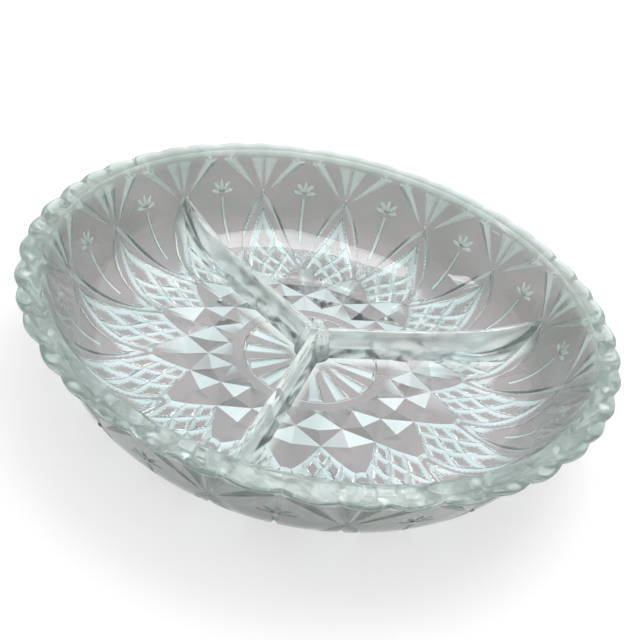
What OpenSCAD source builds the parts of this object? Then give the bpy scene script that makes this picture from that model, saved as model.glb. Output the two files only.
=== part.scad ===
// Divided relish dish, pressed in one piece of clear glass.
// The nodes are the regions of that one pressing, named after the parts of
// the mould that shape them. They meet face to face and share one body.
// Origin: centre of the flat base. +Z up, +X through the middle of a fan.
// Millimetres.

/* [Bowl] */
// Radius over the tips of the rim scallops
rim_r = 108; // [100:1:118]
// Height from the table to the inner edge of the rim
dish_h = 42.8; // [39:0.2:48]
// Radius of the bend from the flat base up to the wall, on the outer face
bend_r = 30; // [26:0.5:32]
// Thickness of the glass in floor and wall
glass_t = 6; // [4.5:0.1:7]
// Lean of the straight upper wall from the vertical, in degrees
wall_lean = 23; // [19:1:26]
// Distance from the scallop tips in to the outer face of the wall
tip_reach = 2; // [1:0.1:3]

/* [Rim] */
// Height of the scalloped rim
rim_h = 6.5; // [5:0.5:9]
// Drop from the rim's inner edge to the scallop tips
crown_drop = 0.6; // [0.4:0.1:2]
// Height of the upright outer edge of the scallops
tip_h = 1.6; // [1:0.1:2.5]
// Rounding radius of one scallop
scallop_r = 14; // [12:0.5:16]
// Angle between the scallops of one fan, in degrees
scallop_step = 7.4; // [7:0.1:7.8]

/* [Fans] */
// Number of fans and leaves round the dish
sectors = 15; // [12:1:18]
// Depth of the ray cuts of a fan where they meet the rim
ray_d = 1.5; // [0.6:0.1:2]
// Height of the fans' apexes above the table
apex_h = 22.4; // [20:0.2:25]

/* [Leaves] */
// Depth of the cuts round and across a leaf
leaf_d = 1.3; // [0.5:0.1:2]
// Flat glass between the bend and the widest points of the leaves
side_land = 7; // [4:0.5:9]
// Length of a leaf's lower point
point_l = 12; // [9:0.5:14]
// Length of the band between a leaf's top and the apex of its fan
band_l = 8.5; // [6:0.5:11]

/* [Star base] */
// Outer radius of the plain ring that the dish rests on
ring_r = 30.5; // [28:0.5:32]
// Width of that ring
ring_w = 4; // [3:0.5:6]
// Depth of the cuts between the facets of the star
star_d = 1.3; // [0.5:0.1:1.8]

/* [Rosette] */
// Radius of the round-bottomed petal cut
petal_r = 3.6; // [3:0.1:4]
// Depth of a petal cut at its outer end
petal_d = 1.2; // [0.6:0.1:1.8]
// Distance from the centre to where a petal begins
petal_start = 8; // [7:0.5:10]
// Glass left between a petal's outer end and the ring
petal_land = 1.2; // [1:0.1:3]

/* [Dividers] */
// Height of the hub above the table
hub_h = 17.4; // [15:0.2:20]
// Radius of the hub at its top
hub_r = 5; // [4:0.5:6]
// Extra radius of the hub at its foot
hub_flare = 2.5; // [1:0.5:3]
// Width of a divider along its top edge
divider_top_w = 3.4; // [2.5:0.1:4.5]
// Width of a divider at the floor
divider_foot_w = 10; // [8:0.5:12]
// Height above the table where a divider's top edge meets the wall
divider_end_h = 26.5; // [22:0.5:29]
// Angle of the first divider from the middle of a fan
divider_angle = 0; // [0:1:120]
// Number of ribs in the starburst on the hub
hub_ribs = 15; // [8:1:18]

/* [Hidden] */

glass_tint = [0.72, 0.77, 0.75, 0.5];
over = 1;
seat_gap = 0.02;

sector_a = 360 / sectors;
divider_count = 3;
divider_step_angle = 360 / divider_count;
bend_a = 90 - wall_lean;
wall_r = rim_r - tip_reach;
foot_r = wall_r - dish_h * tan(wall_lean);
base_r = foot_r - bend_r * tan(bend_a / 2);
rim_z = dish_h - rim_h;
tip_z = dish_h - crown_drop;
wall_across = glass_t / cos(wall_lean);
bend_l = bend_r * bend_a * PI / 180;
bend_top_z = bend_r * (1 - cos(bend_a));

// Radius of the outer face of the straight wall at a height
function wall_at(z) = foot_r + z * tan(wall_lean);
// A point of the bend, the given angle round it and the given depth in
function bend_pt(a, in) = [base_r + (bend_r - in) * sin(a), bend_r - (bend_r - in) * cos(a)];
function mix(a, b, share) = a + (b - a) * share;

// A point of the outer face, its length from the centre given, cut to a depth
function outer_pt(s, cut) =
    s <= base_r ? [s, cut]
        : s <= base_r + bend_l ? bend_pt((s - base_r) / bend_r * 180 / PI, cut)
        : let(z = bend_top_z + (s - base_r - bend_l) * cos(wall_lean))
            [wall_at(z) - cut * cos(wall_lean), z + cut * sin(wall_lean)];

// Lengths along the outer face, from the centre, that place the pattern
side_s = base_r - side_land;
tip_s = side_s - point_l;
apex_s = base_r + bend_l + (apex_h - bend_top_z) / cos(wall_lean);
leaf_l = apex_s - band_l - tip_s;

// A leaf is a net of three by three diamonds, each four rows and columns on a
// side. The outline round it takes another four rows and one more column,
// which the leaf shares with its neighbour.
net = 3;
cell = 4;
side_row = net * cell / 2;
top_row = (net + 1) * cell;
half_cols = side_row + 1;
sector_cols = 2 * half_cols;
cols = sectors * sector_cols;
function col_k(i) = abs(i % sector_cols - half_cols);
function col_angle(i) = (i - half_cols) * sector_a / sector_cols;

// Where the lines of the net cross, as shares of the leaf's length from its
// lower tip to its top
net_share = [[0, 0.081, 0.165, 0.246], [0.081, 0.198, 0.323, 0.50],
    [0.165, 0.323, 0.448, 0.708], [0.246, 0.50, 0.708, 1]];
// The outline round the leaf, column by column, as shares of the way from the
// leaf's widest point to the apex
outline_share = [1, 0.93, 0.85, 0.73, 0.58, 0.39, 0.2, 0.11];

function net_s(p, q) =
    let(i = min(floor(p), net - 1), j = min(floor(q), net - 1), u = p - i, v = q - j)
    tip_s + leaf_l * mix(mix(net_share[i][j], net_share[i + 1][j], u),
        mix(net_share[i][j + 1], net_share[i + 1][j + 1], u), v);

// The lowest row that a column has, its last row in the net and its last row
// in the band round the leaf: the rows below the first fall together
function low_row(k) = min(k, side_row);
function net_row(k) = k == half_cols ? side_row : 2 * side_row - k;
function band_row(k) = k == half_cols ? 3 * side_row / 2 : top_row - k;
function outline_s(k) = mix(side_s, apex_s, outline_share[k]);
function panel_s(k, row) =
    let(n = max(row, low_row(k)), end = net_row(k), band = band_row(k))
    k == half_cols && n == side_row ? side_s
        : k < half_cols && n <= end ? net_s((n + k) / cell, (n - k) / cell)
        : n <= band ? mix(k == half_cols ? side_s : net_s(net, (end - k) / cell), outline_s(k),
            (n - end) / (band - end))
        : mix(outline_s(k), apex_s, (n - band) / (top_row - band));
function panel_cut(k, row) =
    let(n = max(row, low_row(k)))
    n == top_row ? 0
        : n == band_row(k) ? leaf_d
        : k == half_cols ? (n == side_row ? leaf_d : 0)
        : n > net_row(k) ? 0
        : (n + k) % cell == 0 || (n - k) % cell == 0 ? leaf_d : 0;

// Fan: wide outer rays and narrow inner ones that deepen towards the rim
fan_rows = 5;
apex_share = 0.12;
top_share = 0.94;
ray_share = [0, 0.5, 0, 0, 0, 1, 0, 0];
function fan_cut(k, j) = ray_d * ray_share[k] * j / fan_rows;
function fan_angle(i, share) =
    let(k = i % sector_cols - half_cols, s = floor(i / sector_cols))
    s * sector_a + sector_a / 2 * (k == -half_cols ? -1 : k / (half_cols - 1) * share);

function ring_pts(angles, spots) =
    [for (i = [0 : cols - 1]) [spots[i][0] * cos(angles[i]), spots[i][0] * sin(angles[i]), spots[i][1]]];
// Two triangles between the edges a-b and d-c, less those that fall together
function pair(a, b, c, d, along) =
    [for (f = along ? [[a, c, b], [a, d, c]] : [[a, d, b], [b, d, c]])
        if (f[0] != f[1] && f[1] != f[2] && f[2] != f[0]) f];
function band_faces(low, high) =
    [for (i = [0 : cols - 1])
        let(n = (i + 1) % cols)
        each pair(low[i], low[n], high[n], high[i], true)];
function ring_ids(row) = [for (i = [0 : cols - 1]) row * cols + i];

// A closed ring of glass with a cut outer face and a smooth inner face. The
// first rows of a column fall together where its low row is above zero.
module pressed_ring(outer, cuts, lows, inner) {
    rows = len(outer);
    function id(i, row) = max(row, lows[i]) * cols + i;
    faces = [for (j = [0 : rows - 2]) for (i = [0 : cols - 1])
        let(n = (i + 1) % cols,
            along = cuts[j][i] + cuts[j + 1][n],
            across = cuts[j][n] + cuts[j + 1][i])
        each pair(id(i, j), id(n, j), id(n, j + 1), id(i, j + 1), along > across)];
    inner_faces = [for (j = [0 : len(inner) - 2])
        each band_faces(ring_ids(rows + j + 1), ring_ids(rows + j))];
    foot = band_faces(ring_ids(rows), [for (i = [0 : cols - 1]) id(i, 0)]);
    top = band_faces(ring_ids(rows - 1), ring_ids(rows + len(inner) - 1));
    polyhedron([for (ring = concat(outer, inner)) each ring], concat(faces, inner_faces, foot, top));
}

module panel_wall() {
    angles = [for (i = [0 : cols - 1]) col_angle(i)];
    cuts = [for (j = [0 : top_row]) [for (i = [0 : cols - 1]) panel_cut(col_k(i), j)]];
    outer = [for (j = [0 : top_row])
        ring_pts(angles, [for (i = [0 : cols - 1]) outer_pt(panel_s(col_k(i), j), cuts[j][i])])];
    lows = [for (i = [0 : cols - 1]) low_row(col_k(i))];
    foot = ring_pts(angles, [for (i = [0 : cols - 1]) [panel_s(col_k(i), 0), glass_t]]);
    inner_steps = 5;
    bend = [for (j = [0 : inner_steps])
        ring_pts(angles, [for (i = [0 : cols - 1]) bend_pt(bend_a * j / inner_steps, glass_t)])];
    top = ring_pts(angles, [for (i = [0 : cols - 1]) [wall_at(apex_h) - wall_across, apex_h]]);
    color(glass_tint) pressed_ring(outer, cuts, lows, concat([foot], bend, [top]));
}

module fan_wall() {
    even = [for (i = [0 : cols - 1]) col_angle(i)];
    cuts = [for (j = [0 : fan_rows]) [for (i = [0 : cols - 1]) fan_cut(col_k(i), j)]];
    outer = [for (j = [0 : fan_rows])
        let(share = j / fan_rows, z = mix(apex_h, rim_z, share))
        ring_pts([for (i = [0 : cols - 1]) fan_angle(i, mix(apex_share, top_share, share))],
            [for (i = [0 : cols - 1]) [wall_at(z) - cuts[j][i], z]])];
    inner = [for (z = [apex_h, rim_z])
        ring_pts(even, [for (i = [0 : cols - 1]) [wall_at(z) - wall_across, z]])];
    color(glass_tint) pressed_ring(outer, cuts, [for (i = [0 : cols - 1]) 0], inner);
}

// Star: flat facets between the base ring and the lower points of the leaves.
// Each half sector has a diamond on the fan's line and a kite on the border.
module star_floor() {
    low_share = 0.1;
    waist_share = 0.54;
    low_s = mix(ring_r, tip_s, low_share);
    waist_s = mix(ring_r, tip_s, waist_share);
    split = cell;
    angles = [for (i = [0 : cols - 1]) col_angle(i)];
    plain = [for (i = [0 : cols - 1]) ring_r];
    leaf = [for (i = [0 : cols - 1]) panel_s(col_k(i), 0)];
    edges = [for (ring = [[plain, 0], [leaf, leaf_d], [plain, glass_t], [leaf, glass_t]])
        each ring_pts(angles, [for (s = ring[0]) [s, ring[1]]])];
    // Per sector: the low cut, the diamond's middle, the cut at the border and
    // the kite's middle
    marks = [for (s = [0 : sectors - 1])
        let(mid = s * sector_a, border = mid - sector_a / 2)
        each [for (mark = [[low_s, mid, star_d], [waist_s, mid, 0], [waist_s, border, star_d], [tip_s, border, 0]])
            [mark[0] * cos(mark[1]), mark[0] * sin(mark[1]), mark[2]]]];
    first = 4 * cols;
    half_faces = [for (s = [0 : sectors - 1], side = [0, 1])
        let(m = first + 4 * s, b = first + 4 * ((s + side) % sectors),
            at = function(k) (s * sector_cols + half_cols + (side == 0 ? -k : k) + cols) % cols,
            turn = function(f) side == 1 ? f : [f[0], f[2], f[1]])
        each [for (f = concat(
            [for (k = [0 : split - 1]) [m, at(k + 1), at(k)]],
            [[m, b + 2, at(split)]],
            [for (k = [split : half_cols - 1]) [b + 2, at(k + 1), at(k)]],
            [[m, m + 1, b + 2], [m + 1, cols + at(0), b + 2], [b + 2, cols + at(0), b + 3]],
            [for (k = [0 : half_cols - 1]) [b + 3, cols + at(k), cols + at(k + 1)]])) turn(f)]];
    walls = concat(band_faces(ring_ids(2), ring_ids(0)), band_faces(ring_ids(1), ring_ids(3)),
        band_faces(ring_ids(3), ring_ids(2)));
    color(glass_tint) polyhedron(concat(edges, marks), concat(half_faces, walls));
}

module base_ring() {
    color(glass_tint) difference() {
        cylinder(h = glass_t, r = ring_r, $fn = 96);
        translate([0, 0, -over]) cylinder(h = glass_t + 2 * over, r = ring_r - ring_w, $fn = 96);
    }
}

module rosette() {
    disc_r = ring_r - ring_w;
    petal_l = disc_r - petal_land - petal_start;
    petal_tilt = asin(petal_d / petal_l);
    color(glass_tint) difference() {
        cylinder(h = glass_t, r = disc_r, $fn = 96);
        for (s = [0 : sectors - 1])
            rotate(s * sector_a)
                translate([petal_start, 0, -petal_r])
                    rotate([0, 90 - petal_tilt, 0])
                        translate([0, 0, -petal_r])
                            cylinder(h = petal_l + petal_r, r = petal_r, $fn = 32);
    }
}

module scallop_outline() {
    circle(rim_r - tip_reach - scallop_r / 4, $fn = 180);
    for (s = [0 : sectors - 1], t = [-1 : 1])
        rotate(s * sector_a + t * scallop_step)
            translate([rim_r - scallop_r, 0])
                circle(scallop_r, $fn = 48);
}

module rim() {
    section = [[wall_at(rim_z) - wall_across, rim_z], [wall_at(rim_z), rim_z],
        [rim_r, tip_z - tip_h], [rim_r, tip_z - tip_h / 3],
        [rim_r - tip_reach, tip_z], [wall_at(dish_h) - wall_across + crown_drop, dish_h],
        [wall_at(dish_h) - wall_across, dish_h - crown_drop / 2]];
    color(glass_tint) intersection() {
        rotate_extrude($fn = 192) polygon(section);
        translate([0, 0, rim_z - over]) linear_extrude(rim_h + 2 * over) scallop_outline();
    }
}

// A V cut of the given width and depth along X, open downwards
module mitre(length, width, depth) {
    steep = (depth + over) / depth;
    rotate([90, 0, 90])
        translate([0, 0, -length / 2])
            linear_extrude(length)
                polygon([[0, depth], [-width / 2 * steep, -over], [width / 2 * steep, -over]]);
}

module hub() {
    rib_w = hub_r / 4;
    color(glass_tint) difference() {
        translate([0, 0, glass_t])
            cylinder(h = hub_h - glass_t, r1 = hub_r + hub_flare, r2 = hub_r, $fn = 64);
        for (s = [0 : hub_ribs - 1])
            rotate(s * 360 / hub_ribs)
                translate([hub_r, 0, hub_h])
                    mirror([0, 0, 1])
                        mitre(hub_r, rib_w, rib_w / 2);
    }
}

// The space inside the bowl, a seat gap clear of the glass
module inner_space() {
    steps = 12;
    in = glass_t + seat_gap;
    bend = [for (j = [0 : steps]) bend_pt(bend_a * j / steps, in)];
    rotate_extrude($fn = 192)
        polygon(concat([[0, in]], bend,
            [[wall_at(rim_z) - wall_across - seat_gap, rim_z], [0, rim_z]]));
}

module divider(turn) {
    reach = wall_at(divider_end_h) - wall_across;
    past_share = 1.05;
    sweep_steps = 8;
    sweep_power = 5;
    sweep = [for (n = [0 : sweep_steps])
        let(share = n / sweep_steps * past_share)
        [reach * share, mix(hub_h, divider_end_h, pow(share, sweep_power))]];
    section = [[-divider_foot_w / 2, 0], [divider_foot_w / 2, 0],
        [divider_top_w / 2, hub_h], [divider_top_w / 2, divider_end_h + over],
        [-divider_top_w / 2, divider_end_h + over], [-divider_top_w / 2, hub_h]];
    foot = hub_r + hub_flare + seat_gap;
    hub_seat = [[0, 0], [foot, 0], [foot, glass_t], [hub_r + seat_gap, hub_h],
        [hub_r + seat_gap, divider_end_h], [0, divider_end_h]];
    color(glass_tint) difference() {
        rotate(turn) intersection() {
            rotate([90, 0, 90]) linear_extrude(reach * past_share) polygon(section);
            translate([0, divider_foot_w, 0])
                rotate([90, 0, 0])
                    linear_extrude(2 * divider_foot_w)
                        polygon(concat([[0, 0], [reach * past_share, 0]],
                            [for (n = [sweep_steps : -1 : 0]) sweep[n]]));
            inner_space();
        }
        rotate_extrude($fn = 64) polygon(hub_seat);
    }
}

module divider_right() { divider(divider_angle); }
module divider_rear() { divider(divider_angle + divider_step_angle); }
module divider_front() { divider(divider_angle + 2 * divider_step_angle); }

rim();
fan_wall();
panel_wall();
star_floor();
base_ring();
rosette();
hub();
divider_right();
divider_rear();
divider_front();
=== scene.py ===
import math

import bmesh
import bpy
from mathutils import Matrix, Vector


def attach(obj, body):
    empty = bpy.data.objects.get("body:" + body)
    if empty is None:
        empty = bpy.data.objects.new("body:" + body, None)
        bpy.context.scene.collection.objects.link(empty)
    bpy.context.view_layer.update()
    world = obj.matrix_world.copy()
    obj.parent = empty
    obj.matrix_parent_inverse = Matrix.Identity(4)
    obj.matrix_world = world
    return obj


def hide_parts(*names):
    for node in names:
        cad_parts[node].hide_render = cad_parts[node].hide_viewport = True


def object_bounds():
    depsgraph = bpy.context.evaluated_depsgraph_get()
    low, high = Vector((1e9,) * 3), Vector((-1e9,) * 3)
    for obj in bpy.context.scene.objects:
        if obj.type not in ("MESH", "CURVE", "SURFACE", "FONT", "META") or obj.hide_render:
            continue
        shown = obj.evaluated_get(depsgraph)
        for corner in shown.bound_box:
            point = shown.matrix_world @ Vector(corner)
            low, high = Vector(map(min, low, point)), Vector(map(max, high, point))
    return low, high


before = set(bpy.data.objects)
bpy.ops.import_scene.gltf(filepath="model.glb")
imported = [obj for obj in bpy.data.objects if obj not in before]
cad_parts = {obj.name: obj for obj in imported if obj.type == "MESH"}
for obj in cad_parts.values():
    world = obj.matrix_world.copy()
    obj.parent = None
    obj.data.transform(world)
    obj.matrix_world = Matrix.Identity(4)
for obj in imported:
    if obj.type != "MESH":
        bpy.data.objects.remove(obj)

cad_low, cad_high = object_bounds()

# Camera
# It stands at the near side, above the dish, and is rolled a little, as a
# hand-held camera is. Places are in metres from the middle of the base. Light
# bounces often enough to find its way out of the thick rim.
view_camera = bpy.data.objects.new("view_camera", bpy.data.cameras.new("view_camera"))
view_camera.location = (-0.0777, -0.2341, 0.1983)
view_camera.rotation_euler = [math.radians(turn) for turn in (53.62, -10.73, -10.60)]
view_camera.data.lens = 44.84
view_camera.data.sensor_width = 36.0
view_camera.data.clip_start = 0.01
bpy.context.scene.collection.objects.link(view_camera)
bpy.context.scene.camera = view_camera
bpy.context.scene.view_settings.view_transform = "Standard"
bpy.context.scene.cycles.max_bounces = 32
bpy.context.scene.cycles.transmission_bounces = 32

# Bowl
# One thick round shell of clear glass, pressed in a mould: the plunger leaves
# the inside smooth and the mould cuts fans, leaves and a star outside.
# A name that ends in _r is a radius, _h or _z a height, _l a length, _w a
# width, _t a thickness, _d the depth of a cut, _a an angle, and _s a way along
# the outer face from the middle of the base.
MM = 0.001
rim_r = cad_high.x
dish_h = cad_high.z
bend_r = 30.0 * MM
glass_t = 6.0 * MM
wall_lean = math.radians(23.0)
tip_reach = 2.0 * MM
rim_h = 6.5 * MM
scallop_r = 14.0 * MM
scallop_step = math.radians(7.4)
SECTORS = 15
sector_a = math.tau / SECTORS
half_a = sector_a / 2
ray_d = 1.5 * MM
apex_h = 22.4 * MM
leaf_d = 1.3 * MM
side_land = 7.0 * MM
point_l = 12.0 * MM
band_l = 8.5 * MM
ring_r = 30.5 * MM
ring_w = 4.0 * MM
star_d = 1.3 * MM
petal_r = 3.6 * MM
petal_d = 1.2 * MM
petal_start = 8.0 * MM
petal_land = 1.2 * MM
line_d = 0.35 * MM
line_w = 0.3 * MM

bend_a = math.pi / 2 - wall_lean
bend_l = bend_r * bend_a
foot_r = rim_r - tip_reach - dish_h * math.tan(wall_lean)
base_r = foot_r - bend_r * math.tan(bend_a / 2)
bend_top_z = bend_r * (1 - math.cos(bend_a))
rim_z = dish_h - rim_h
wall_across = glass_t / math.cos(wall_lean)
rosette_r = ring_r - ring_w

side_s = base_r - side_land
tip_s = side_s - point_l
apex_s = base_r + bend_l + (apex_h - bend_top_z) / math.cos(wall_lean)
leaf_l = apex_s - band_l - tip_s

# A leaf is a net of three by three diamonds, four steps on a side. A sector
# of the pattern is seven steps wide on each side of its middle line. The net's
# shares say how far up the leaf its crossings lie, and the outline's shares how
# far up the wall each step of the border to the fans lies.
NET = 3
CELL = 4
SIDE_STEP = NET * CELL // 2
LEAF_STEP = NET * CELL
TOP_STEP = LEAF_STEP + CELL
HALF_STEPS = SIDE_STEP + 1
FINE = 3
HALF_COLS = FINE * HALF_STEPS
SECTOR_COLS = 2 * HALF_COLS
COLS = SECTORS * SECTOR_COLS
net_share = ((0, 0.081, 0.165, 0.246), (0.081, 0.198, 0.323, 0.50),
             (0.165, 0.323, 0.448, 0.708), (0.246, 0.50, 0.708, 1))
outline_share = (1, 0.93, 0.85, 0.73, 0.58, 0.39, 0.2, 0.11)
line_width = 0.9
outline_width = 1.1


def mix(a, b, share):
    return a + (b - a) * share


def groove(distance, half_width):
    return max(0.0, 1.0 - abs(distance) / half_width)


def wall_at(z):
    return foot_r + z * math.tan(wall_lean)


def bend_point(a, deep):
    return base_r + (bend_r - deep) * math.sin(a), bend_r - (bend_r - deep) * math.cos(a)


def outer_point(s, deep):
    if s <= base_r:
        return s, deep
    if s <= base_r + bend_l:
        return bend_point((s - base_r) / bend_r, deep)
    z = bend_top_z + (s - base_r - bend_l) * math.cos(wall_lean)
    return wall_at(z) - deep * math.cos(wall_lean), z + deep * math.sin(wall_lean)


# A cubic through its values at 0, 1, 2 and 3
def cubic_weights(x):
    return (-(x - 1) * (x - 2) * (x - 3) / 6, x * (x - 2) * (x - 3) / 2,
            -x * (x - 1) * (x - 3) / 2, x * (x - 1) * (x - 2) / 6)


def net_s(one, other):
    share = sum(a * b * net_share[i][j] for i, a in enumerate(cubic_weights(one))
                for j, b in enumerate(cubic_weights(other)))
    return tip_s + leaf_l * share


def outline_s(k):
    low = min(int(k), HALF_STEPS - 1)
    return mix(side_s, apex_s, mix(outline_share[low], outline_share[low + 1], k - low))


def panel_s(k, n):
    n = max(n, min(k, SIDE_STEP))
    if k > SIDE_STEP:
        edge = outline_s(HALF_STEPS)
        border_row = TOP_STEP - HALF_STEPS
        if n <= border_row:
            border = mix(side_s, edge, (n - SIDE_STEP) / (border_row - SIDE_STEP))
        else:
            border = mix(edge, apex_s, (n - border_row) / HALF_STEPS)
        return mix(panel_s(SIDE_STEP, n), border, k - SIDE_STEP)
    if n <= LEAF_STEP - k:
        return net_s((n + k) / CELL, (n - k) / CELL)
    if n <= TOP_STEP - k:
        return mix(net_s(NET, (LEAF_STEP - 2 * k) / CELL), outline_s(k), (n - LEAF_STEP + k) / CELL)
    return mix(outline_s(k), apex_s, (n - TOP_STEP + k) / k)


def panel_cut(k, n):
    n = max(n, min(k, SIDE_STEP))
    if k > SIDE_STEP:
        near = n - SIDE_STEP
    elif n + k > LEAF_STEP:
        near = n + k - LEAF_STEP
    else:
        near = min(abs(line - CELL * round(line / CELL)) for line in (n + k, n - k))
    return leaf_d * max(groove(near, line_width), groove(n + k - TOP_STEP, outline_width))


apex_share = 0.12
top_share = 0.94


def fan_turn(k, spread):
    inner = min(k, SIDE_STEP) / SIDE_STEP * spread
    return half_a * mix(inner, 1.0, max(0.0, k - SIDE_STEP))


def fan_cut(k, share):
    return ray_d * share * max(groove(k - 5, 1), 0.6 * groove(k - 1, 1))


def panel_place(k, n):
    r, z = outer_point(panel_s(k, n), panel_cut(k, n))
    even = half_a * k / HALF_STEPS
    past = n - (TOP_STEP - k)
    closing = past / k if past > 0 else 0.0
    return r, z, mix(even, fan_turn(k, apex_share), closing)


def fan_place(k, share):
    z = mix(apex_h, rim_z, share)
    return wall_at(z) - fan_cut(k, share), z, fan_turn(k, mix(apex_share, top_share, share))


# Star: straight lines between a fan's middle line and the border to the next
# fan, each end given as its radius and its depth
star_low = mix(ring_r, tip_s, 0.1)
star_waist = mix(ring_r, tip_s, 0.54)
leaf_side = 0.9
STAR_LINES = (((star_low, star_d), (star_waist, star_d)), ((star_waist, 0.0), (star_waist, star_d)),
              ((tip_s, leaf_d), (star_waist, star_d)), ((tip_s, leaf_d), (tip_s, 0.0)))


def star_place(k, line):
    (near, near_d), (far, far_d) = line
    turn = half_a * k / HALF_STEPS
    r = near * far * math.sin(half_a) / (near * math.sin(turn) + far * math.sin(half_a - turn))
    return r, mix(near_d, far_d, r * math.sin(turn) / (far * math.sin(half_a))), turn


def leaf_side_place(k):
    r, z, turn = star_place(k, STAR_LINES[-1])
    return mix(r, panel_s(k, 0), leaf_side), mix(z, leaf_d, leaf_side), turn


def rosette_place(k, share):
    r = rosette_r * share
    turn = half_a * k / HALF_STEPS
    end = rosette_r - petal_land
    along = (r - petal_start) / (end - petal_start)
    if along <= 0 or along > 1:
        return r, 0.0, turn
    across = r * math.sin(turn)
    return r, max(0.0, petal_d * along - across ** 2 / (2 * petal_r)), turn


def scallop_edge(turn):
    across = (rim_r - scallop_r) * math.sin(turn)
    return (rim_r - scallop_r) * math.cos(turn) + math.sqrt(scallop_r ** 2 - across ** 2)


# Rim: from the fans round the lip to the smooth inside. Each row says how far
# out and up it lies, how strongly it waves with the scallops, how far its
# columns follow the scallops and not the fans, and how evenly they stand.
RIM_PROFILE = ((0.25, 0.18, 0.4, 0.3, 0), (0.50, 0.36, 0.8, 0.6, 0), (0.74, 0.54, 1.0, 0.9, 0),
               (0.90, 0.65, 1.0, 1, 0), (0.98, 0.73, 1.0, 1, 0), (1.00, 0.80, 1.0, 1, 0),
               (0.98, 0.86, 1.0, 1, 0), (0.90, 0.905, 1.0, 1, 0), (0.74, 0.93, 0.95, 1, 0),
               (0.48, 0.945, 0.8, 1, 0), (0.20, 0.96, 0.5, 1, 0.3), (-0.10, 0.98, 0.25, 1, 0.6),
               (-0.40, 1.0, 0.1, 1, 0.8), (-0.62, 0.995, 0.0, 1, 1), (-0.74, 0.96, 0.0, 1, 1),
               (-0.78, 0.90, 0.0, 1, 1))
soft_notch = 6.0 * MM
lip_out = 0.95
under_lip = 0.7


def rim_turn(k):
    third = HALF_STEPS / 3
    if k <= 2 * third:
        return scallop_step / 2 * k / third
    return mix(scallop_step, half_a, (k - 2 * third) / third)


def rim_place(k, out, up, wave, own, even):
    turn = mix(fan_turn(k, top_share), rim_turn(k), own)
    turn = mix(turn, half_a * k / HALF_STEPS, even)
    nearest = min(abs(turn), abs(turn - scallop_step))
    notch = rim_r - scallop_edge(nearest)
    notch /= 1 + notch / soft_notch
    rays_fade = 1 - out if 0 < out < lip_out and up < under_lip and not even else 0.0
    low_r = wall_at(rim_z) - fan_cut(k, 1.0) * rays_fade
    return mix(low_r, rim_r, out) - wave * notch, rim_z + rim_h * up, turn


def inner_place(k, r, z):
    return r, z, half_a * k / HALF_STEPS


def steps(count, start=1):
    return [n / count for n in range(start, count + 1)]


# Rows of the outline, from the middle of the base up the outer face, round the
# rim and down the inside. Each gives a place for a column k steps from the
# sector's middle line.
ROSETTE_ROWS = 20
FAN_ROWS = 10
BEND_ROWS = 20
rows = [lambda k, share=share: rosette_place(k, share) for share in steps(ROSETTE_ROWS, 0)[:-1]]
for r, z in ((rosette_r - line_w, 0.0), (rosette_r, line_d), (rosette_r + line_w, 0.0), (ring_r, 0.0)):
    rows.append(lambda k, r=r, z=z: inner_place(k, r, z))
rows += [lambda k, line=line: star_place(k, line) for line in STAR_LINES]
rows.append(leaf_side_place)
rows += [lambda k, n=n: panel_place(k, n / FINE) for n in range(FINE * TOP_STEP + 1)]
rows += [lambda k, share=share: fan_place(k, share) for share in steps(FAN_ROWS)]
rows += [lambda k, spot=spot: rim_place(k, *spot) for spot in RIM_PROFILE]
for down in (1.5 * MM, 3.0 * MM, 5.0 * MM, 8.0 * MM, 12.0 * MM, 16.0 * MM):
    rows.append(lambda k, z=dish_h - down: inner_place(k, wall_at(z) - wall_across, z))
for share in steps(BEND_ROWS, 0):
    rows.append(lambda k, spot=bend_point(bend_a * (1 - share), glass_t): inner_place(k, *spot))
for r in (0.75 * base_r, 0.4 * base_r, 0.0):
    rows.append(lambda k, r=r: inner_place(k, r, glass_t))
places = [[place(step / FINE) for step in range(HALF_COLS + 1)] for place in rows]

# The outline is spun as a loose string of points that meets the axis only at
# its two ends. Then each point moves to the place that its row and column have.
bowl = bmesh.new()
row_of = bowl.verts.layers.int.new("row")
outline = []
for number in range(len(places)):
    vert = bowl.verts.new((rim_r * (1 + number / len(places)) / 10, 0.0, 0.0))
    vert[row_of] = number
    outline.append(vert)
outline[0].co.x = outline[-1].co.x = 0.0
outline_edges = [bowl.edges.new(pair) for pair in zip(outline, outline[1:])]
bmesh.ops.spin(bowl, geom=outline + outline_edges, cent=(0, 0, 0), axis=(0, 0, 1), dvec=(0, 0, 0),
               angle=math.tau, steps=COLS, use_merge=True, use_duplicate=False)
for vert in bowl.verts:
    index = round(math.atan2(vert.co.y, vert.co.x) / math.tau * COLS) % COLS
    sector, column = divmod(index + HALF_COLS, SECTOR_COLS)
    column -= HALF_COLS
    r, z, turn = places[vert[row_of]][abs(column)]
    turn = sector * sector_a + math.copysign(turn, column)
    vert.co = (r * math.cos(turn), r * math.sin(turn), z)
bmesh.ops.remove_doubles(bowl, verts=bowl.verts, dist=2e-6)
bmesh.ops.recalc_face_normals(bowl, faces=bowl.faces)


def cut_depth(point):
    r, z = math.hypot(point.x, point.y), point.z
    if r < base_r:
        return z
    if r - base_r < (bend_r - z) * math.tan(bend_a):
        return bend_r - math.hypot(r - base_r, z - bend_r)
    return (wall_at(z) - r) * math.cos(wall_lean)


# A quad of the cut face folds along the deeper of its two diagonals
for face in list(bowl.faces):
    if len(face.verts) == 4:
        depths = [cut_depth(vert.co) for vert in face.verts]
        if 0.02 * MM < max(depths) < 0.4 * glass_t:
            first = 0 if depths[0] + depths[2] > depths[1] + depths[3] else 1
            bmesh.utils.face_split(face, face.verts[first], face.verts[first + 2])


def as_object(name, shape):
    mesh = bpy.data.meshes.new(name)
    shape.to_mesh(mesh)
    shape.free()
    made = bpy.data.objects.new(name, mesh)
    bpy.context.scene.collection.objects.link(made)
    return made


glass = as_object("pressed_dish", bowl)

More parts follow.
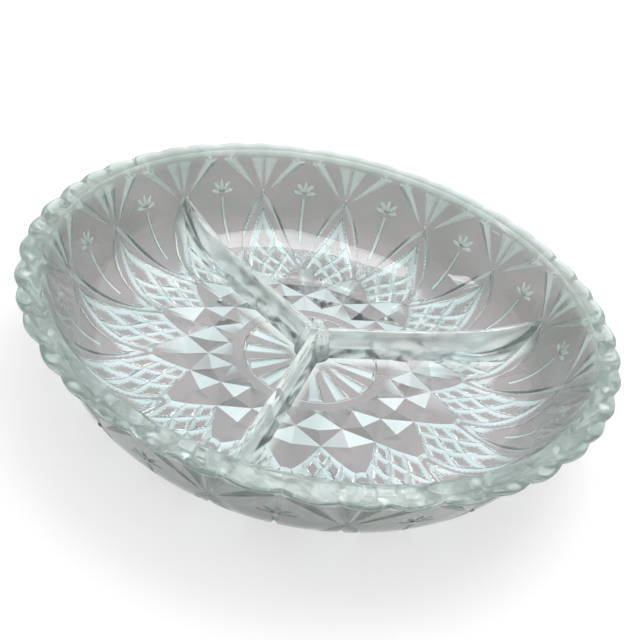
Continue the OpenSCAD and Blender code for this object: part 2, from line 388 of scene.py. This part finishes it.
# Dividers
# Three thick ribs of the same glass, pressed with the bowl. Each tapers to a
# rounded top, runs level from the hub and sweeps up where it meets the wall.
hub_h = 17.4 * MM
divider_end_h = 26.5 * MM
divider_top_w = 3.4 * MM
divider_foot_w = 10.0 * MM
sunk = 3.0 * MM
divider_reach = wall_at(divider_end_h) - wall_across
divider_l = divider_reach + 2.5 * MM
divider_sweep = 5
shoulder_in = 0.6
shoulder_up = 0.45
DIVIDER_STEPS = 40
ROUND_STEPS = 12


def sunk_floor(x):
    low = bend_point(bend_a, sunk)[0]
    if x < base_r:
        return sunk
    if x < low:
        return bend_r - math.sqrt((bend_r - sunk) ** 2 - (x - base_r) ** 2)
    return (x + sunk / math.cos(wall_lean) - foot_r) / math.tan(wall_lean)


def divider_section(share):
    x = divider_l * share
    foot = sunk_floor(x)
    top = mix(hub_h, divider_end_h, (x / divider_reach) ** divider_sweep)
    half_top = divider_top_w / 2
    half_foot = divider_foot_w / 2
    half_shoulder = mix(half_foot, half_top, shoulder_in)
    shoulder = mix(foot, top, shoulder_up)
    points = [(x, -half_foot, foot), (x, -half_shoulder, shoulder)]
    for n in range(ROUND_STEPS + 1):
        a = math.pi * n / ROUND_STEPS
        points.append((x, -half_top * math.cos(a), top - half_top + half_top * math.sin(a)))
    points += [(x, half_shoulder, shoulder), (x, half_foot, foot)]
    return points


def divider_shape(turn):
    rib = bmesh.new()
    ring = [rib.verts.new(point) for point in divider_section(0.0)]
    face = rib.faces.new(ring)
    for n in range(1, DIVIDER_STEPS + 1):
        made = bmesh.ops.extrude_face_region(rib, geom=[face])
        fresh = [item for item in made["geom"] if isinstance(item, bmesh.types.BMFace)][0]
        if n > 1 and face.is_valid:
            bmesh.ops.delete(rib, geom=[face], context="FACES_ONLY")
        for vert, point in zip(fresh.verts, divider_section(n / DIVIDER_STEPS)):
            vert.co = point
        face = fresh
    bmesh.ops.recalc_face_normals(rib, faces=rib.faces)
    bmesh.ops.rotate(rib, cent=(0, 0, 0), matrix=Matrix.Rotation(turn, 3, "Z"), verts=rib.verts)
    return rib


ribs = [as_object("rib", divider_shape(n * math.tau / 3)) for n in range(3)]

# Hub
# The low round post where the dividers meet. Its top carries a small
# starburst of V cuts, pressed by the plunger.
hub_r = 5.0 * MM
hub_flare = 2.5 * MM
HUB_RIBS = 15
HUB_COLS = 120
burst_d = 0.8 * MM
post = bmesh.new()
hub_outline = [(0.0, sunk), (hub_r + hub_flare, sunk), (hub_r + hub_flare * 0.9, glass_t),
               (hub_r, hub_h - 1.5 * MM), (hub_r * 0.94, hub_h - 0.5 * MM), (hub_r * 0.8, hub_h),
               (hub_r * 0.4, hub_h), (0.0, hub_h)]
post_verts = [post.verts.new((r, 0, z)) for r, z in hub_outline]
post_edges = [post.edges.new(pair) for pair in zip(post_verts, post_verts[1:])]
bmesh.ops.spin(post, geom=post_verts + post_edges, cent=(0, 0, 0), axis=(0, 0, 1), dvec=(0, 0, 0),
               angle=math.tau, steps=HUB_COLS, use_merge=True, use_duplicate=False)
bmesh.ops.remove_doubles(post, verts=post.verts, dist=1e-7)
for vert in post.verts:
    r = math.hypot(vert.co.x, vert.co.y)
    if vert.co.z > hub_h - 0.7 * MM and r > 0.3 * hub_r:
        turn = math.atan2(vert.co.y, vert.co.x) * HUB_RIBS / math.tau
        vert.co.z -= burst_d * groove(turn - round(turn), 0.5)
bmesh.ops.recalc_face_normals(post, faces=post.faces)
ribs.append(as_object("post", post))

# Florets
# A small flower of five petals on a thin stem stands in the plain glass
# between two fans. It is cut shallowly into the outer face of the wall.
floret_z = 22.8 * MM
petal_turns = (0.0, -40.0, 40.0, -80.0, 80.0)
petal_long = 2.9 * MM
petal_wide = 1.0 * MM
petal_deep = 0.45 * MM
petal_out = 3.4 * MM
stem_low_a = math.radians(27.0)
stem_r = 0.9 * MM
stem_high_a = bend_a + 0.1
PETAL_STEPS = 12
STEM_SIDES = 8
STEM_STEPS = 14
flowers = bmesh.new()
for sector in range(SECTORS):
    around = Matrix.Rotation((sector + 0.5) * sector_a, 4, "Z")
    seat = (around @ Matrix.Translation((wall_at(floret_z), 0, floret_z))
            @ Matrix.Rotation(math.pi / 2 + wall_lean, 4, "Y") @ Matrix.Rotation(math.pi / 2, 4, "Z"))
    for petal_turn in petal_turns:
        petal_place = (seat @ Matrix.Rotation(math.radians(petal_turn), 4, "Z")
                       @ Matrix.Translation((0, petal_out, 0))
                       @ Matrix.Diagonal((petal_wide, petal_long, petal_deep, 1)))
        bmesh.ops.create_uvsphere(flowers, u_segments=PETAL_STEPS, v_segments=8, radius=1.0,
                                  matrix=petal_place)
    stem = bmesh.new()
    bmesh.ops.create_circle(stem, cap_ends=True, radius=stem_r, segments=STEM_SIDES)
    bmesh.ops.rotate(stem, cent=(0, 0, 0), matrix=Matrix.Rotation(math.pi / 2, 3, "X"), verts=stem.verts)
    bmesh.ops.rotate(stem, cent=(0, 0, 0), matrix=Matrix.Rotation(math.pi / 2, 3, "Z"), verts=stem.verts)
    bmesh.ops.translate(stem, vec=(base_r, 0, 0), verts=stem.verts)
    bmesh.ops.rotate(stem, cent=(base_r, 0, bend_r), matrix=Matrix.Rotation(-stem_low_a, 3, "Y"),
                     verts=stem.verts)
    bmesh.ops.spin(stem, geom=stem.verts[:] + stem.edges[:] + stem.faces[:], cent=(base_r, 0, bend_r),
                   axis=(0, 1, 0), dvec=(0, 0, 0), angle=-(stem_high_a - stem_low_a), steps=STEM_STEPS,
                   use_duplicate=False)
    bmesh.ops.recalc_face_normals(stem, faces=stem.faces)
    bmesh.ops.transform(stem, matrix=around, verts=stem.verts)
    part = bpy.data.meshes.new("stem")
    stem.to_mesh(part)
    stem.free()
    flowers.from_mesh(part)
    bpy.data.meshes.remove(part)
florets = as_object("florets", flowers)


def boolean(target, tool, operation):
    change = target.modifiers.new("join", "BOOLEAN")
    change.object = tool
    change.operation = operation
    change.solver = "MANIFOLD"
    depsgraph = bpy.context.evaluated_depsgraph_get()
    made = bpy.data.meshes.new_from_object(target.evaluated_get(depsgraph))
    target.modifiers.clear()
    target.data = made
    bpy.data.objects.remove(tool)


for rib in ribs:
    boolean(glass, rib, "UNION")
boolean(glass, florets, "DIFFERENCE")

# Edges of the cut face stay crisp and the fire-polished inside stays smooth
finished = bmesh.new()
finished.from_mesh(glass.data)
crisp_a = math.radians(8.0)
polished_a = math.radians(34.0)
for edge in finished.edges:
    depth = cut_depth((edge.verts[0].co + edge.verts[1].co) / 2)
    high = min(edge.verts[0].co.z, edge.verts[1].co.z) > rim_z - 0.1 * MM
    limit = crisp_a if depth < 0.5 * glass_t and not high else polished_a
    edge.smooth = edge.calc_face_angle(0.0) < limit
for face in finished.faces:
    face.smooth = True
finished.to_mesh(glass.data)
finished.free()

# Glass
# Clear soda-lime glass, fire polished. The thick rim has a green cast, and the
# cuts look frosted. The wall looks grey-brown where one sees through it: that is
# painted shade, a darker tint on the clear glass that stands in for the ground
# and shadow seen through it, darker up the wall. Star facets that face one way
# are pale, a painted highlight; cuts that face that way are painted lighter and
# the others darker. Under the rib feet the painted shade gives way to the rim's
# green, as painted light. Each corner of the mesh carries its tint with this
# painted light and shade, its frost and a cloudy share.
# Painted shade: these darken the clear glass grey-brown to stand in for the ground and shadow seen
# through it, the wall more than the floor.
floor_shade_colour = (0.17, 0.145, 0.15)
wall_shade_colour = (0.09, 0.075, 0.074)
# The cuts carry less painted shade; up the wall they are painted darker too.
floor_cut_colour = (0.70, 0.93, 0.97)
wall_cut_shade_colour = (0.25, 0.31, 0.30)
rim_colour = (0.88, 1.0, 0.96)
clear_colour = (0.91, 1.0, 0.98)
# Painted highlight: the pale colour of star facets that face the light.
painted_highlight_colour = (0.50, 0.64, 0.66)
milk_colour = (0.66, 0.82, 0.74, 1.0)
CUT_FROST = 0.5
# Cuts that face away from the light take only this share of their lighter colour: painted shade.
CUT_SHADE = 0.45
PALE_FROST = 0.1
STEEP_FROST = 0.35
STEEP_FACETS = (0, 2)
RIB_FROST = 0.2
RIM_FROST = 0.1
RIM_MILK = 0.13
RIB_MILK = 0.08
WALL_MILK = 0.14
# Painted light: under the rib feet the painted shade gives way to this share of the rim's green, so the
# ribs look lit.
UNDER_RIB_LIGHT = 0.7
# The way the painted light comes from, and how far star facets and cuts must face toward it to be
# painted lighter.
painted_light_direction = Vector((0.17, 0.98, 0.0))
highlight_facing = (0.08, 0.14)
cut_light_facing = (-0.3, 0.1)
rib_side = (0.3, 0.7)
wall_z = (1.5 * MM, 14 * MM)
rim_tint_z = (rim_z + 1.5 * MM, rim_z + 4.5 * MM)
cut_tint_d = (0.05 * MM, 0.4 * MM)
floret_tint_d = (0.12 * MM, 0.2 * MM)
# Where the painted light under the rib feet fades out
rib_foot = (2.5 * MM, 6.0 * MM)
rib_foot_z = (6 * MM, 16 * MM)
rib_clear = 0.15 * MM
star_border = 0.2 * MM
floret_border = 0.5 * MM


def ramp(value, low, high):
    return min(1.0, max(0.0, (value - low) / (high - low)))


def star_facet(point):
    r = math.hypot(point.x, point.y)
    turn = math.atan2(point.y, point.x) % sector_a
    k = min(turn, sector_a - turn) / half_a * HALF_STEPS
    if ring_r < r < panel_s(k, 0) - star_border:
        return sum(r > star_place(k, line)[0] for line in STAR_LINES)
    return None


def in_floret(point):
    r = math.hypot(point.x, point.y)
    across = r * (math.atan2(point.y, point.x) % sector_a - half_a)
    along = (point.z - floret_z) / math.cos(wall_lean)
    return math.hypot(across, along) < petal_out + petal_long + floret_border


def from_rib(point):
    turn = math.atan2(point.y, point.x) % (math.tau / 3)
    return math.hypot(point.x, point.y) * math.sin(min(turn, math.tau / 3 - turn, math.pi / 2))


# The outer face's tint holds painted shade that darkens up the wall, painted highlights on star facets
# and cuts that face the light, painted shade on cuts that face away, and painted light under the rib
# feet.
def outer_finish(face, facet, point):
    # Painted shade, darker up the wall
    high = ramp(point.z, *wall_z)
    colour = Vector(floor_shade_colour).lerp(Vector(wall_shade_colour), high)
    cut_colour = Vector(floor_cut_colour).lerp(Vector(wall_cut_shade_colour), high)
    toward_painted_light = face.normal.dot(painted_light_direction)
    if facet is not None:
        # Painted highlight on star facets that face the light
        colour = colour.lerp(Vector(painted_highlight_colour), ramp(toward_painted_light, *highlight_facing))
        white = STEEP_FROST if facet in STEEP_FACETS else PALE_FROST
    elif in_floret(face.center):
        white = ramp(cut_depth(face.center), *floret_tint_d)
        colour = colour.lerp(cut_colour, white)
        white *= CUT_FROST
    else:
        white = ramp(cut_depth(point), *cut_tint_d)
        # Painted light and shade: cuts that face the light are lighter than the others
        colour = colour.lerp(cut_colour, white * mix(CUT_SHADE, 1.0, ramp(toward_painted_light, *cut_light_facing)))
        white *= CUT_FROST
    # Painted light under the rib feet
    lit_under_rib = (1 - ramp(from_rib(point), *rib_foot)) * (1 - ramp(point.z, *rib_foot_z))
    return colour.lerp(Vector(rim_colour), UNDER_RIB_LIGHT * lit_under_rib), white, WALL_MILK * high


tints_with_painted_light = []
frosts = []
milks = []
for face in glass.data.polygons:
    centre_depth = cut_depth(face.center)
    outside = centre_depth < glass_t / 2 and (face.center.z < rim_z or face.normal.z < 0)
    rib = centre_depth > glass_t + rib_clear and face.center.z < rim_z
    facet = star_facet(face.center)
    for corner in face.loop_indices:
        point = glass.data.vertices[glass.data.loops[corner].vertex_index].co
        colour, white, milk = Vector(clear_colour), 0.0, 0.0
        if outside:
            colour, white, milk = outer_finish(face, facet, point)
        elif rib:
            side = 1 - ramp(face.normal.z, *rib_side)
            white, milk = RIB_FROST * side, RIB_MILK * side
        rim_share = ramp(point.z, *rim_tint_z)
        # The tint keeps the painted light and shade of the outer face and turns to the rim's own green
        # near the top.
        tints_with_painted_light += [*colour.lerp(Vector(rim_colour), rim_share), 1.0]
        frosts.append(mix(white, RIM_FROST, rim_share))
        milks.append(mix(milk, RIM_MILK, rim_share))
glass.data.attributes.new("glass_tint", "FLOAT_COLOR", "CORNER").data.foreach_set("color", tints_with_painted_light)
glass.data.attributes.new("frost", "FLOAT", "CORNER").data.foreach_set("value", frosts)
glass.data.attributes.new("milk", "FLOAT", "CORNER").data.foreach_set("value", milks)

finish = bpy.data.materials.new("pressed_glass")
finish.use_nodes = True
nodes = finish.node_tree.nodes
links = finish.node_tree.links
nodes.clear()


# An output of a shader node. Nodes are made from their settings and inputs, and
# outputs can be added and multiplied.
class Socket:
    def __init__(self, socket):
        self.socket = socket

    @classmethod
    def node(cls, kind, output, settings, inputs):
        made = nodes.new(kind)
        for name, value in settings.items():
            setattr(made, name, value)
        for name, value in inputs.items():
            if isinstance(value, cls):
                links.new(value.socket, made.inputs[name])
            else:
                made.inputs[name].default_value = value
        return cls(made.outputs[output]) if made.outputs else made

    def __add__(self, other):
        return Socket.node("ShaderNodeMath", 0, {"operation": "ADD"}, {0: self, 1: other})

    def __radd__(self, other):
        return Socket.node("ShaderNodeMath", 0, {"operation": "ADD"}, {0: other, 1: self})

    def __rmul__(self, other):
        return Socket.node("ShaderNodeMath", 0, {"operation": "MULTIPLY"}, {0: other, 1: self})


WAVES = {"Scale": 90.0, "Detail": 1.0}
PATCHES = {"Scale": 40.0, "Detail": 1.0}
PATCH_SHARE = 0.6
polish = 0.02
spot = Socket.node("ShaderNodeTexCoord", "Object", {}, {})
# The tint with its painted shade and highlights
tint = Socket.node("ShaderNodeAttribute", "Color", {"attribute_name": "glass_tint"}, {})
frost = Socket.node("ShaderNodeAttribute", "Fac", {"attribute_name": "frost"}, {})
milk = Socket.node("ShaderNodeAttribute", "Fac", {"attribute_name": "milk"}, {})
waves = Socket.node("ShaderNodeTexNoise", 0, {}, {"Vector": spot, **WAVES})
patches = Socket.node("ShaderNodeTexNoise", 0, {}, {"Vector": spot, **PATCHES})
patchy = Socket.node("ShaderNodeVectorMath", 0, {"operation": "SCALE"},
                     {0: tint, "Scale": (1 - PATCH_SHARE / 2) + PATCH_SHARE * patches})
ripple = Socket.node("ShaderNodeBump", "Normal", {},
                     {"Height": waves, "Strength": 0.25, "Distance": 0.4 * MM})
pressed = Socket.node("ShaderNodeBsdfPrincipled", 0, {}, {
    "Base Color": patchy, "Roughness": polish + frost, "Normal": ripple, "Transmission Weight": 1.0,
    "IOR": 1.5})
cloudy = Socket.node("ShaderNodeBsdfPrincipled", 0, {}, {
    "Base Color": milk_colour, "Roughness": 0.35, "Normal": ripple})
body = Socket.node("ShaderNodeMixShader", 0, {}, {0: milk, 1: pressed, 2: cloudy})
Socket.node("ShaderNodeOutputMaterial", 0, {}, {"Surface": body})
glass.data.materials.clear()
glass.data.materials.append(finish)
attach(glass, "root")
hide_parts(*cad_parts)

# Floor and light
# A plain white floor under the dish, a soft white room, a soft panel overhead
# that shines in the back of the bowl, and a strip at the left for the glints.
# Half of the floor that one sees is even white, so its shadow stays light.
floor_size = 3.0
floor_gap = 0.3 * MM
FLOOR_GLOW = 0.5
floor_white = (0.9, 0.9, 0.9, 1.0)
full_white = (1.0, 1.0, 1.0, 1.0)
ground = bmesh.new()
bmesh.ops.create_grid(ground, x_segments=1, y_segments=1, size=floor_size)
bmesh.ops.translate(ground, verts=ground.verts, vec=(0, 0, -floor_gap))
floor = as_object("floor", ground)
paint = bpy.data.materials.new("floor_white")
paint.use_nodes = True
nodes = paint.node_tree.nodes
links = paint.node_tree.links
nodes.clear()
by_camera = Socket.node("ShaderNodeLightPath", "Is Camera Ray", {}, {})
by_glossy = Socket.node("ShaderNodeLightPath", "Is Glossy Ray", {}, {})
by_glass = Socket.node("ShaderNodeLightPath", "Is Transmission Ray", {}, {})
matt = Socket.node("ShaderNodeBsdfPrincipled", 0, {}, {"Base Color": floor_white, "Roughness": 0.8})
even_white = Socket.node("ShaderNodeEmission", 0, {}, {"Color": full_white, "Strength": 1.0})
seen = FLOOR_GLOW * (by_camera + by_glossy + by_glass)
shade = Socket.node("ShaderNodeMixShader", 0, {}, {0: seen, 1: matt, 2: even_white})
Socket.node("ShaderNodeOutputMaterial", 0, {}, {"Surface": shade})
floor.data.materials.append(paint)

room = bpy.data.worlds.new("room")
bpy.context.scene.world = room
room.use_nodes = True
sky = room.node_tree.nodes["Background"]
sky.inputs["Color"].default_value = full_white
sky.inputs["Strength"].default_value = 1.0


def lamp(name, width, depth, power, place):
    data = bpy.data.lights.new(name, "AREA")
    data.shape = "RECTANGLE"
    data.size = width
    data.size_y = depth
    data.energy = power
    made = bpy.data.objects.new(name, data)
    made.location = place
    made.rotation_euler = (-Vector(place)).to_track_quat("-Z", "Y").to_euler()
    bpy.context.scene.collection.objects.link(made)


lamp("ceiling_panel", width=0.55, depth=0.55, power=3.8, place=(0.17, 0.16, 0.85))
lamp("left_strip", width=0.06, depth=0.3, power=0.4, place=(-0.6, 0.1, 0.5))
